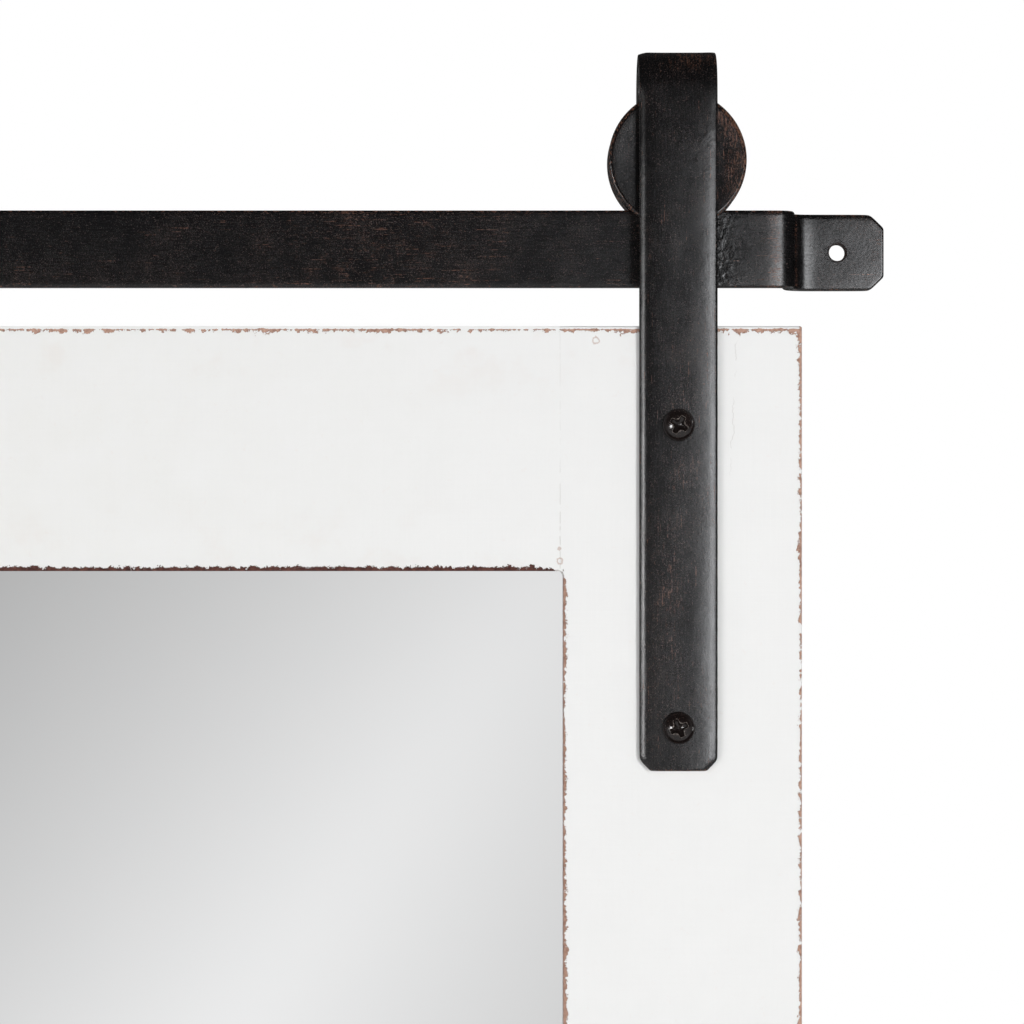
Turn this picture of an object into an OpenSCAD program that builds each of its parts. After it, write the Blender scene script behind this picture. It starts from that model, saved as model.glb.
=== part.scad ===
// Full length panel mirror that hangs on a short sliding-door track.
// The wall is the plane y = 0 and the mirror faces -Y. Z is up. The origin lies on the wall,
// midway between the two wall screw holes of the track.

/* [Panel] */
// Overall width of the white panel
panel_w = 457; // [400:1:620]
// Overall height of the white panel
panel_h = 1219; // [900:1:1500]
// Thickness of the four boards
board_t = 19; // [18:0.5:25]
// Width of the upright boards
stile_w = 79; // [71:1:100]
// Width of the top and bottom boards
cross_board_w = 81; // [71:1:110]
// How far the opening is cut into the glued boards
opening_trim = 1; // [0.5:0.25:2]
// Radius that the cutter leaves in the opening's corners
opening_corner_r = 2; // [1.5:0.25:3]
// Bevel along the panel's outer edges
edge_bevel = 0.6; // [0.3:0.1:1.5]

/* [Mirror and its rabbet] */
// Thickness of the lip that the glass lies against
lip_t = 6; // [4:0.5:8]
// How far the lip reaches over the rabbet
rabbet_w = 9; // [7:0.5:12]
// Thickness of the mirror glass
glass_t = 3; // [2:0.5:4]
// Gap between the glass and the rabbet wall
glass_gap = 1; // [0.5:0.25:2]
// Thickness of the foam sheet behind the glass
pad_t = 1; // [0.5:0.25:2]
// Thickness of the backing board
backer_t = 3; // [2:0.5:4]

/* [Backing points] */
// Length of one flat steel point
point_l = 14; // [12:0.5:18]
// Width of one point
point_w = 8; // [6:0.5:12]
// Thickness of one point
point_t = 0.6; // [0.4:0.1:1]
// How far a point is driven into the wood
point_bite = 6; // [4:0.5:8]
// Points along each upright board
points_per_stile = 5; // [3:1:8]
// Points along each cross board
points_per_cross_board = 3; // [2:1:5]

/* [Corner dowels] */
// Diameter of a corner dowel
dowel_d = 8; // [6:0.5:10]
// Length of a corner dowel
dowel_l = 40; // [30:1:50]
// Distance between the two dowels of a corner
dowel_pitch = 36; // [24:1:44]

/* [Flat bar] */
// Width of the steel flat bar
bar_w = 25.4; // [22:0.1:30]
// Thickness of the steel flat bar
bar_t = 4; // [3:0.5:4.5]
// Radius along the edges of the bar
bar_edge_r = 1.2; // [0.6:0.1:1.4]

/* [Track] */
// How far the track reaches past each side of the panel
track_overhang = 29.4; // [28:0.1:60]
// Gap between the lower edge of the track and the top of the panel
track_to_panel = 13.2; // [10:0.1:40]
// Inner radius of the two bends of each offset end
offset_bend_r = 2.5; // [1.5:0.25:3.5]
// Length of the flat tab at each end
tab_l = 27.3; // [24:0.1:35]
// Cut across each corner of a tab
tab_chamfer = 4.5; // [2:0.5:7]
// Diameter of the wall screw hole
wall_hole_d = 5.5; // [4:0.1:7]
// Distance from the end of the track to the wall screw hole
wall_hole_inset = 15.5; // [12:0.1:18]

/* [Hanger straps] */
// Distance from the side of the panel to the middle of a strap
strap_inset = 40.5; // [34:0.5:44]
// Length of strap that lies on the panel
strap_reach = 145; // [130:1:200]
// Room between the top of the wheel and the bend of the strap
hook_room = 10.3; // [4:0.1:20]
// Length of the rear leg below the wheel's axis
rear_leg_drop = 12.5; // [10:0.5:15]
// Cut across each lower corner of a strap
strap_chamfer = 3.5; // [2:0.5:6]

/* [Strap screws] */
// Distance between the two screws of a strap
screw_pitch = 98.5; // [70:0.5:105]
// Distance from the end of the strap to the lower screw
screw_end_gap = 14.1; // [10:0.1:20]
// Diameter of a screw head
screw_head_d = 9.6; // [8:0.1:12]
// Height of a screw head
screw_head_h = 2.6; // [2:0.1:3.5]
// Diameter of a screw's shank
screw_shank_d = 4.8; // [4:0.1:5.2]
// Length of a screw below its head
screw_l = 18; // [14:0.5:20]
// Length of a screw's point
screw_tip_l = 4; // [2:0.5:6]
// Diameter of the screw hole in the strap
strap_hole_d = 5.6; // [5.4:0.1:6.5]

/* [Wheels] */
// Diameter of a wheel over its flanges
wheel_d = 44; // [40:1:56]
// Diameter of the tread that rolls on the track
tread_d = 32; // [28:1:36]
// Width of a wheel
wheel_w = 14; // [12:0.5:15]
// Width of the groove that takes the track
groove_w = 6; // [5:0.5:7.5]
// Small bevel round the rims
rim_bevel = 0.6; // [0.3:0.1:1]

/* [Axles] */
// Diameter of an axle screw
axle_screw_d = 6; // [5:0.5:6.5]
// Diameter of an axle screw's flat head
axle_head_d = 11.4; // [9.5:0.1:13]
// Depth of the tapped hole in the strap's front leg
axle_thread_l = 2.8; // [1.5:0.1:3]
// Outer diameter of the sleeve that the wheel turns on
sleeve_d = 9; // [8:0.5:11]
// Diameter of the washers beside a wheel
washer_d = 15; // [13:0.5:20]
// Thickness of those washers
washer_t = 1.8; // [1:0.1:2]

/* [Wall bumpers] */
// Diameter of a bumper
bumper_d = 16; // [10:1:25]
// Thickness of a bumper, which sets the panel off the wall
bumper_t = 5; // [4:0.5:10]
// Distance from a bumper's centre to the panel's edges
bumper_inset = 24; // [14:1:40]

/* [Clearances] */
// Radial play between a wheel and its sleeve
bore_play = 0.05; // [0.02:0.01:0.1]
// Side play at each washer face
side_play = 0.1; // [0.05:0.05:0.3]
// Gap between a wheel's tread and the top of the track
tread_gap = 0.1; // [0.05:0.05:0.3]
// Gap round the pieces that are set into the wood
set_gap = 0.1; // [0.05:0.05:0.2]
// Radial gap round the screws in their steel holes
thread_gap = 0.1; // [0.05:0.05:0.2]

/* [Hidden] */
$fn = 96;
eps = 0.01;

// Depths, from the wall at y = 0 towards the front
panel_back_y = -bumper_t;
panel_front_y = panel_back_y - board_t;
strap_front_y = panel_front_y - bar_t;
glass_front_y = panel_front_y + lip_t;
glass_back_y = glass_front_y + glass_t;
pad_back_y = glass_back_y + pad_t;
backer_back_y = pad_back_y + backer_t;
dowel_y = panel_back_y - board_t / 2;

// The strap's two legs stand apart by the wheel, its washers and their play
hook_gap = wheel_w + 2 * washer_t + 4 * side_play;
wheel_y = panel_front_y + hook_gap / 2;
rear_leg_y = panel_front_y + hook_gap;

// The track runs in the middle of the wheels' grooves
track_back_y = wheel_y + bar_t / 2;
offset_leg_l = -track_back_y - bar_t - 2 * offset_bend_r;
offset_bend_outer_r = offset_bend_r + bar_t;

// Heights, from the middle of the track
track_top_z = bar_w / 2;
panel_top_z = -bar_w / 2 - track_to_panel;
panel_bottom_z = panel_top_z - panel_h;
opening_top_z = panel_top_z - cross_board_w + opening_trim;
opening_bottom_z = panel_bottom_z + cross_board_w - opening_trim;
axle_z = track_top_z + tread_gap + tread_d / 2;
hook_outer_r = hook_gap / 2 + bar_t;
hook_z = axle_z + wheel_d / 2 + hook_room - hook_gap / 2;
strap_bottom_z = panel_top_z - strap_reach;
lower_screw_z = strap_bottom_z + screw_end_gap;
upper_screw_z = lower_screw_z + screw_pitch;

// Widths, from the middle of the mirror
track_half_l = panel_w / 2 + track_overhang;
strap_x = panel_w / 2 - strap_inset;
stile_inner_x = panel_w / 2 - stile_w;
opening_w = 2 * (stile_inner_x + opening_trim);
opening_h = opening_top_z - opening_bottom_z;
wall_hole_x = track_half_l - wall_hole_inset;
offset_x = track_half_l - tab_l - offset_bend_outer_r - offset_bend_r;

bar_color = "#1f1c1b";
paint_color = "#f1f1f0";

// The echo gives the places that the mounts and joints use
echo(wall_hole_spacing = 2 * wall_hole_x, axle_x = strap_x, axle_y = wheel_y, axle_z = axle_z);
echo(offset_starts_at = offset_x, rolling_radius = tread_d / 2 + tread_gap);

module mirrored(side) {
    if (side < 0) mirror([1, 0, 0]) children();
    else children();
}

// Lays a shape that is modelled along Z so that it points to -Y
module facing_front() {
    rotate([90, 0, 0]) children();
}

// Cross section of the rolled bar: thickness along x, width along y
module bar_section() {
    straight_t = bar_t - 2 * bar_edge_r;
    straight_w = bar_w - 2 * bar_edge_r;
    square([bar_t, straight_w], center = true);
    square([straight_t, bar_w], center = true);
    for (x = [-1, 1], y = [-1, 1])
        translate([x * straight_t / 2, y * straight_w / 2]) circle(bar_edge_r);
}

// A straight length of bar along z, thickness along x and width along y
module bar_length(length) {
    linear_extrude(length) bar_section();
}

// A bend of the bar about the z axis, which starts on the x axis
module bar_bend(inner_r, angle) {
    rotate_extrude(angle = angle) translate([inner_r + bar_t / 2, 0]) bar_section();
}

// A prism that cuts a corner square to 45 degrees, centred on the corner and along y
module corner_cut(chamfer) {
    rotate([0, 45, 0]) cube([chamfer * sqrt(2), 4 * bar_t, chamfer * sqrt(2)], center = true);
}

// Half of the track: the straight run, the two bends of the offset and the wall tab
module track_half() {
    bend_1 = [offset_x, track_back_y + offset_bend_r];
    bend_2 = [offset_x + offset_bend_outer_r + offset_bend_r, -bar_t - offset_bend_r];
    difference() {
        union() {
            translate([0, track_back_y - bar_t / 2, 0])
                rotate([0, 90, 0]) rotate([0, 0, 90]) bar_length(offset_x);
            translate([bend_1.x, bend_1.y, 0]) rotate([0, 0, -90]) bar_bend(offset_bend_r, 90);
            translate([offset_x + offset_bend_r + bar_t / 2, bend_1.y, 0])
                rotate([-90, 0, 0]) bar_length(offset_leg_l);
            translate([bend_2.x, bend_2.y, 0]) rotate([0, 0, 90]) bar_bend(offset_bend_r, 90);
            translate([bend_2.x, -bar_t / 2, 0])
                rotate([0, 90, 0]) rotate([0, 0, 90]) bar_length(tab_l);
        }
        for (z = [-1, 1])
            translate([track_half_l, -bar_t / 2, z * bar_w / 2]) corner_cut(tab_chamfer);
        translate([wall_hole_x, eps, 0])
            facing_front() cylinder(d = wall_hole_d, h = bar_t + 2 * eps);
    }
}

module track_bar() {
    color(bar_color) {
        track_half();
        mirrored(-1) track_half();
    }
}

// J-shaped strap: down the face of the panel, over the wheel and behind it
module hanger_strap() {
    front_l = hook_z - strap_bottom_z;
    rear_bottom_z = axle_z - rear_leg_drop;
    rear_l = hook_z - rear_bottom_z;
    color(bar_color)
        translate([strap_x, 0, 0])
            difference() {
                union() {
                    translate([0, panel_front_y - bar_t / 2, strap_bottom_z])
                        rotate([0, 0, 90]) bar_length(front_l);
                    translate([0, wheel_y, hook_z])
                        rotate([0, 90, 0]) rotate([0, 0, 90]) bar_bend(hook_gap / 2, 180);
                    translate([0, rear_leg_y + bar_t / 2, rear_bottom_z])
                        rotate([0, 0, 90]) bar_length(rear_l);
                }
                for (x = [-1, 1]) {
                    translate([x * bar_w / 2, panel_front_y - bar_t / 2, strap_bottom_z])
                        corner_cut(strap_chamfer);
                    translate([x * bar_w / 2, rear_leg_y + bar_t / 2, rear_bottom_z])
                        corner_cut(strap_chamfer);
                }
                for (z = [lower_screw_z, upper_screw_z])
                    translate([0, panel_front_y + eps, z])
                        facing_front() cylinder(d = strap_hole_d, h = bar_t + 2 * eps);
                translate([0, 0, axle_z]) axle_screw_space(thread_gap);
            }
}

// The axle screw's outline, grown by a gap, at height 0. It points to -Y from its head
module axle_screw_space(gap) {
    shank_r = axle_screw_d / 2 + gap;
    head_r = axle_head_d / 2 + gap;
    head_h = (axle_head_d - axle_screw_d) / 2;
    back_y = rear_leg_y + bar_t;
    front_y = panel_front_y - axle_thread_l - gap;
    translate([0, back_y, 0]) facing_front() {
        cylinder(r = shank_r, h = back_y - front_y);
        cylinder(r1 = head_r, r2 = shank_r, h = head_h);
    }
}

// A cross recess, cut down along -z from the top of a head
module cross_recess(span, depth) {
    slot_w = span / 4;
    for (turn = [0, 90])
        rotate([0, 0, turn])
            translate([-span / 2, -slot_w / 2, -depth]) cube([span, slot_w, depth + 1]);
}

module axle_screw() {
    recess_depth = 2;
    color(bar_color)
        translate([strap_x, 0, axle_z])
            difference() {
                axle_screw_space(0);
                translate([0, rear_leg_y + bar_t, 0])
                    rotate([-90, 0, 0]) cross_recess(axle_head_d / 2, recess_depth);
            }
}

module axle_sleeve() {
    sleeve_l = hook_gap;
    color("silver")
        translate([strap_x, rear_leg_y, axle_z]) facing_front()
            difference() {
                cylinder(d = sleeve_d, h = sleeve_l);
                translate([0, 0, -eps])
                    cylinder(r = axle_screw_d / 2 + thread_gap, h = sleeve_l + 2 * eps);
            }
}

module axle_washers() {
    color("#2a2a2c")
        for (back_y = [rear_leg_y - side_play, panel_front_y + side_play + washer_t])
            translate([strap_x, back_y, axle_z]) facing_front()
                difference() {
                    cylinder(d = washer_d, h = washer_t);
                    translate([0, 0, -eps])
                        cylinder(r = sleeve_d / 2 + bore_play, h = washer_t + 2 * eps);
                }
}

// Grooved wheel. The outline is half of a section: radius along x, width along y
module wheel() {
    bore_r = sleeve_d / 2 + bore_play;
    flange_r = wheel_d / 2;
    tread_r = tread_d / 2;
    half_w = wheel_w / 2;
    half_groove = groove_w / 2;
    color(bar_color)
        translate([strap_x, wheel_y, axle_z]) facing_front() rotate_extrude()
            polygon([
                [bore_r, -half_w],
                [flange_r - rim_bevel, -half_w],
                [flange_r, rim_bevel - half_w],
                [flange_r, -half_groove - rim_bevel],
                [flange_r - rim_bevel, -half_groove],
                [tread_r, -half_groove],
                [tread_r, half_groove],
                [flange_r - rim_bevel, half_groove],
                [flange_r, half_groove + rim_bevel],
                [flange_r, half_w - rim_bevel],
                [flange_r - rim_bevel, half_w],
                [bore_r, half_w]
            ]);
}

// Half of a pan-head screw's section: radius along x, its head's seat at y = 0
module pan_screw_outline() {
    head_r = screw_head_d / 2;
    rim_h = screw_head_h / 3;
    dome_h = screw_head_h - rim_h;
    dome_r = (head_r * head_r + dome_h * dome_h) / (2 * dome_h);
    shank_r = screw_shank_d / 2;
    polygon([
        [0, -screw_l],
        [shank_r / 4, -screw_l],
        [shank_r, screw_tip_l - screw_l],
        [shank_r, rim_h / 2],
        [0, rim_h / 2]
    ]);
    intersection() {
        square([head_r, screw_head_h + 1]);
        translate([0, screw_head_h - dome_r]) circle(dome_r);
    }
}

// Pan-head screw along -z, with its head's seat at z = 0
module pan_screw() {
    recess_depth = screw_head_h * 0.6;
    difference() {
        rotate_extrude() pan_screw_outline();
        translate([0, 0, screw_head_h]) cross_recess(screw_head_d / 2, recess_depth);
    }
}

module strap_screws() {
    lower_turn = 14;
    upper_turn = 38;
    color(bar_color)
        for (place = [[lower_screw_z, lower_turn], [upper_screw_z, upper_turn]])
            translate([strap_x, strap_front_y, place[0]])
                facing_front() rotate([0, 0, place[1]]) pan_screw();
}

// The holes that the dowels of one corner lie in, across the joint at x = stile_inner_x
module dowel_row(middle_z, gap) {
    length = dowel_l + 2 * gap;
    for (step = [-1, 1])
        translate([stile_inner_x - length / 2, dowel_y, middle_z + step * dowel_pitch / 2])
            rotate([0, 90, 0]) cylinder(r = dowel_d / 2 + gap, h = length);
}

module corner_dowel_rows(gap) {
    dowel_row(panel_top_z - cross_board_w / 2, gap);
    dowel_row(panel_bottom_z + cross_board_w / 2, gap);
}

// Evenly spaced places along a span, centred on zero
function spaced(count, span) = [for (i = [0 : count - 1]) (i + 0.5) * span / count - span / 2];

// One flat point along x, which bites into the wood past x = 0
module backing_point(gap) {
    translate([-(point_l - point_bite) - gap, backer_back_y + set_gap - gap, -point_w / 2 - gap])
        cube([point_l + 2 * gap, point_t + 2 * gap, point_w + 2 * gap]);
}

// Points that hold the backing along the upright and the cross boards
module stile_points(gap) {
    wall_x = opening_w / 2 + rabbet_w;
    middle_z = (opening_top_z + opening_bottom_z) / 2;
    for (z = spaced(points_per_stile, opening_h))
        translate([wall_x, 0, middle_z + z]) backing_point(gap);
}

module top_points(gap) {
    for (x = spaced(points_per_cross_board, opening_w))
        translate([x, 0, opening_top_z + rabbet_w]) rotate([0, -90, 0]) backing_point(gap);
}

module bottom_points(gap) {
    for (x = spaced(points_per_cross_board, opening_w))
        translate([x, 0, opening_bottom_z - rabbet_w]) rotate([0, 90, 0]) backing_point(gap);
}

module backing_points() {
    color("#b9b9b4") {
        for (side = [-1, 1]) mirrored(side) stile_points(0);
        top_points(0);
        bottom_points(0);
    }
}

// A flat plate that fills the rabbet's outline less a gap, between two depths
module rabbet_plate(front_y, back_y, gap) {
    width = opening_w + 2 * (rabbet_w - gap);
    height = opening_h + 2 * (rabbet_w - gap);
    translate([-width / 2, front_y, opening_bottom_z - rabbet_w + gap])
        cube([width, back_y - front_y, height]);
}

// The whole rabbet, open to the back
module rabbet() {
    rabbet_plate(glass_front_y, panel_back_y + eps, 0);
}

// The opening in the lip, cut through all four boards at once
module lip_opening() {
    inner_w = opening_w - 2 * opening_corner_r;
    inner_h = opening_h - 2 * opening_corner_r;
    middle_z = (opening_top_z + opening_bottom_z) / 2;
    translate([0, glass_front_y + eps, middle_z]) facing_front()
        linear_extrude(lip_t + 2 * eps) {
            square([opening_w, inner_h], center = true);
            square([inner_w, opening_h], center = true);
            for (x = [-1, 1], z = [-1, 1])
                translate([x * inner_w / 2, z * inner_h / 2]) circle(opening_corner_r);
        }
}

// A square bar turned on edge, along x, that bevels an edge at y = 0 and z = 0
module bevel_bar(length) {
    side = edge_bevel * sqrt(2);
    rotate([45, 0, 0]) cube([length, side, side], center = true);
}

// Bevels along the front and back of the panel's whole outline
module outline_bevels() {
    middle_z = (panel_top_z + panel_bottom_z) / 2;
    for (y = [panel_front_y, panel_back_y]) {
        for (z = [panel_top_z, panel_bottom_z])
            translate([0, y, z]) bevel_bar(panel_w + 2);
        for (x = [-1, 1])
            translate([x * panel_w / 2, y, middle_z]) rotate([0, 90, 0]) bevel_bar(panel_h + 2);
    }
}

// Upright board with a stopped rabbet, dowel holes, point slots and pilot holes
module stile() {
    color(paint_color)
        difference() {
            translate([stile_inner_x, panel_front_y, panel_bottom_z])
                cube([stile_w, board_t, panel_h]);
            rabbet();
            lip_opening();
            outline_bevels();
            corner_dowel_rows(set_gap);
            stile_points(set_gap);
            for (z = [lower_screw_z, upper_screw_z])
                translate([strap_x, panel_front_y - eps, z]) rotate([-90, 0, 0]) pilot_hole();
        }
}

// Pilot hole for a strap screw, along +z from the face of the wood
module pilot_hole() {
    depth = screw_l - bar_t + set_gap;
    shank_r = screw_shank_d / 2 + set_gap;
    cylinder(r = shank_r, h = depth - screw_tip_l + eps);
    translate([0, 0, depth - screw_tip_l])
        cylinder(r1 = shank_r, r2 = shank_r / 4 + set_gap, h = screw_tip_l + eps);
}

// Top or bottom board between the stiles
module cross_board(bottom_z) {
    difference() {
        translate([-stile_inner_x, panel_front_y, bottom_z])
            cube([2 * stile_inner_x, board_t, cross_board_w]);
        rabbet();
        lip_opening();
        outline_bevels();
        for (side = [-1, 1]) mirrored(side) corner_dowel_rows(set_gap);
        top_points(set_gap);
        bottom_points(set_gap);
    }
}

module top_board() {
    color(paint_color) cross_board(panel_top_z - cross_board_w);
}

module bottom_board() {
    color(paint_color) cross_board(panel_bottom_z);
}

module corner_dowels() {
    color("#d9b98c")
        for (side = [-1, 1]) mirrored(side) corner_dowel_rows(0);
}

module mirror_glass() {
    color("#c9cfd2") rabbet_plate(glass_front_y, glass_back_y, glass_gap);
}

module foam_sheet() {
    color("#f4f4f2") rabbet_plate(glass_back_y, pad_back_y, glass_gap);
}

module backing_board() {
    color("#6e4a30") rabbet_plate(pad_back_y, backer_back_y, glass_gap);
}

module wall_bumpers() {
    color("#8f8f8c")
        for (side = [-1, 1])
            translate([side * (panel_w / 2 - bumper_inset), 0, panel_bottom_z + bumper_inset])
                facing_front() cylinder(d = bumper_d, h = bumper_t);
}

track_bar();
mirrored(-1) hanger_strap();  // left_hanger_strap
hanger_strap();  // right_hanger_strap
mirrored(-1) wheel();  // left_wheel
wheel();  // right_wheel
mirrored(-1) axle_screw();  // left_axle_screw
axle_screw();  // right_axle_screw
mirrored(-1) axle_sleeve();  // left_axle_sleeve
axle_sleeve();  // right_axle_sleeve
mirrored(-1) axle_washers();  // left_axle_washers
axle_washers();  // right_axle_washers
mirrored(-1) strap_screws();  // left_strap_screws
strap_screws();  // right_strap_screws
mirrored(-1) stile();  // left_stile
stile();  // right_stile
top_board();
bottom_board();
corner_dowels();
mirror_glass();
foam_sheet();
backing_board();
backing_points();
wall_bumpers();
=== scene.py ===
import math
import bmesh
import bpy
from mathutils import Matrix, Vector, noise


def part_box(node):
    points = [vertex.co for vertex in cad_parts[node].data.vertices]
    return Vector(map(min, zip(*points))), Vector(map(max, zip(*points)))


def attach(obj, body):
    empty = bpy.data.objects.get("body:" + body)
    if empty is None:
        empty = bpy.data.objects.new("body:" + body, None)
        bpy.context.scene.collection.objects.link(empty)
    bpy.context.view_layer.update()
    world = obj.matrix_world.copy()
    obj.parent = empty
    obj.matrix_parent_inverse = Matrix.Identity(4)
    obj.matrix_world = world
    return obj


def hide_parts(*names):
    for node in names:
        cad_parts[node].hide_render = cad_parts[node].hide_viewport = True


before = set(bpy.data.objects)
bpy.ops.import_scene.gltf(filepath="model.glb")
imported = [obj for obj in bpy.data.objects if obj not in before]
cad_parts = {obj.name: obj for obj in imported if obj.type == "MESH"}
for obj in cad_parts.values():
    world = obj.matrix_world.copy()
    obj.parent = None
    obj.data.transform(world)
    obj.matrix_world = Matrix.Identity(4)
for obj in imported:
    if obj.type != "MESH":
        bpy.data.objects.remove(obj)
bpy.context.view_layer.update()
print("frame loaded:", len(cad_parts), "nodes")

mm = 0.001  # sizes are in millimetres, and each mesh is scaled once when it is made


# Shader helpers
class Wire:
    # one varying number in a node tree: an expression on it adds Math nodes
    def __init__(self, tree, socket):
        self.tree = tree
        self.socket = socket

    def math(self, operation, *others, flip=False):
        node = self.tree.nodes.new("ShaderNodeMath")
        node.operation = operation
        terms = [self, *others]
        if flip:
            terms.reverse()
        for slot, term in zip(node.inputs, terms):
            if isinstance(term, Wire):
                self.tree.links.new(term.socket, slot)
            else:
                slot.default_value = term
        return Wire(self.tree, node.outputs[0])

    def __add__(self, other):
        return self.math("ADD", other)

    def __sub__(self, other):
        return self.math("SUBTRACT", other)

    def __rsub__(self, other):
        return self.math("SUBTRACT", other, flip=True)

    def __mul__(self, other):
        return self.math("MULTIPLY", other)

    def __truediv__(self, other):
        return self.math("DIVIDE", other)

    def __rtruediv__(self, other):
        return self.math("DIVIDE", other, flip=True)

    def __pow__(self, other):
        return self.math("POWER", other)

    def __neg__(self):
        return self.math("MULTIPLY", -1)

    def __abs__(self):
        return self.math("ABSOLUTE")

    __radd__ = __add__
    __rmul__ = __mul__

    def least(self, other):
        return self.math("MINIMUM", other)

    def most(self, other):
        return self.math("MAXIMUM", other)

    def root(self):
        return self.math("SQRT")

    def kept(self):  # held between 0 and 1
        return self.most(0).least(1)

    def above(self, edge, soft):  # 0 below edge, 1 above edge + soft
        return ((self - edge) / soft).kept()

    def below(self, edge, soft):  # 0 above edge, 1 below edge - soft
        return ((edge - self) / soft).kept()


class Finish:
    # a node tree with one way to add nodes and links
    def __init__(self, tree):
        self.tree = tree
        tree.nodes.clear()

    def feed(self, slot, value):
        if isinstance(value, Wire):
            self.tree.links.new(value.socket, slot)
        elif isinstance(value, bpy.types.NodeSocket):
            self.tree.links.new(value, slot)
        elif slot.type == "RGBA" and len(value) == 3:
            slot.default_value = (*value, 1)
        else:
            slot.default_value = value

    def node(self, kind, settings=None, sockets=None):
        item = self.tree.nodes.new(kind)
        for key, value in (settings or {}).items():
            setattr(item, key, value)
        for key, value in (sockets or {}).items():
            self.feed(item.inputs[key], value)
        return item

    def parts(self, vector):  # the three numbers of a vector socket
        item = self.node("ShaderNodeSeparateXYZ", None, {"Vector": vector})
        return [Wire(self.tree, out) for out in item.outputs]

    def joined(self, x, y, z):
        return self.node("ShaderNodeCombineXYZ", None, {"X": x, "Y": y, "Z": z}).outputs[0]

    def scaled(self, vector, factor):
        item = self.node("ShaderNodeVectorMath", {"operation": "SCALE"}, {0: vector, "Scale": factor})
        return item.outputs[0]

    def ownPlace(self):  # a point's place in its object's own coordinates, in metres
        return self.node("ShaderNodeTexCoord").outputs["Object"]

    def cloud(self, vector, size, detail, rough):  # noise with features about size across
        item = self.node("ShaderNodeTexNoise", None,
                         {"Vector": vector, "Scale": 1 / size, "Detail": detail, "Roughness": rough})
        return Wire(self.tree, item.outputs["Fac"])

    def drawnOut(self, parts, sizes, detail, rough):  # noise with a size of its own in each direction
        return self.cloud(self.joined(*(part / size for part, size in zip(parts, sizes))), 1.0, detail, rough)

    def mix(self, factor, first, second):
        return self.node("ShaderNodeMix", {"data_type": "RGBA"}, {0: factor, 6: first, 7: second}).outputs[2]


def newMaterial(name):
    material = bpy.data.materials.new(name)
    material.use_nodes = True
    return material, Finish(material.node_tree)


def closeMaterial(f, settings, bump=None):
    # settings feed the Principled shader, bump is a height in millimetres
    if bump is not None:
        relief = f.node("ShaderNodeBump", None, {"Height": bump, "Distance": mm, "Strength": 1.0})
        settings["Normal"] = relief.outputs[0]
    shader = f.node("ShaderNodeBsdfPrincipled", None, settings)
    f.node("ShaderNodeOutputMaterial", None, {"Surface": shader.outputs[0]})


# Mesh helpers
def looseObject(name, builder):
    # an object from a bmesh, which is freed
    mesh = bpy.data.meshes.new(name)
    bmesh.ops.recalc_face_normals(builder, faces=builder.faces)
    builder.to_mesh(mesh)
    builder.free()
    item = bpy.data.objects.new(name, mesh)
    bpy.context.collection.objects.link(item)
    return item


def newPiece(name, builder, material, body, node, sharp=40):
    # turns a bmesh in millimetres into a piece that rides on a body and stands for a CAD node
    piece = looseObject(name, builder)
    mesh = piece.data
    mesh.transform(Matrix.Scale(mm, 4))
    for face in mesh.polygons:
        face.use_smooth = True
    mesh.set_sharp_from_angle(angle=math.radians(sharp))
    mesh.materials.append(material)
    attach(piece, body)
    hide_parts(node)
    return piece


def cutAway(builder, cutters):
    # subtracts closed bmeshes from a bmesh and gives back what is left of it
    blank = looseObject("blank", builder)
    tools = [looseObject("cutter", cutter) for cutter in cutters]
    for tool in tools:
        cut = blank.modifiers.new("cut", "BOOLEAN")
        cut.operation = "DIFFERENCE"
        cut.solver = "EXACT"
        cut.object = tool
    bpy.context.view_layer.update()
    shown = blank.evaluated_get(bpy.context.evaluated_depsgraph_get())
    mesh = bpy.data.meshes.new_from_object(shown)
    left = bmesh.new()
    left.from_mesh(mesh)
    bpy.data.meshes.remove(mesh)
    for item in [blank, *tools]:
        data = item.data
        bpy.data.objects.remove(item)
        bpy.data.meshes.remove(data)
    return left


def addMesh(target, source):
    # joins one bmesh to another and frees it
    mesh = bpy.data.meshes.new("joined")
    source.to_mesh(mesh)
    source.free()
    target.from_mesh(mesh)
    bpy.data.meshes.remove(mesh)


def placed(builder, matrix):
    builder.transform(matrix)
    return builder


def towardsFront(x, y, z, turn=0):
    # a frame whose local z axis points to the front
    forward = Matrix.Rotation(math.pi / 2, 4, "X")
    return Matrix.Translation((x, y, z)) @ forward @ Matrix.Rotation(turn, 4, "Z")


def boxMesh(low, high):
    builder = bmesh.new()
    bmesh.ops.create_cube(builder, size=1)
    for vert in builder.verts:
        vert.co = Vector([low[k] if vert.co[k] < 0 else high[k] for k in range(3)])
    return builder


def sharpEdges(builder, angle, *tests):
    # the edges sharper than an angle in radians, with both ends where one of the tests wants them
    sharp = [edge for edge in builder.edges if edge.calc_face_angle(0) > angle]
    return [edge for edge in sharp if any(all(test(vert.co) for vert in edge.verts) for test in tests)]


def bevelled(builder, edges, width, segments):
    # rounds edges and gives back the new vertices
    made = bmesh.ops.bevel(builder, geom=edges, offset=width, offset_type="OFFSET", segments=segments,
                           profile=0.5, affect="EDGES", clamp_overlap=True)
    return made["verts"]


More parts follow.
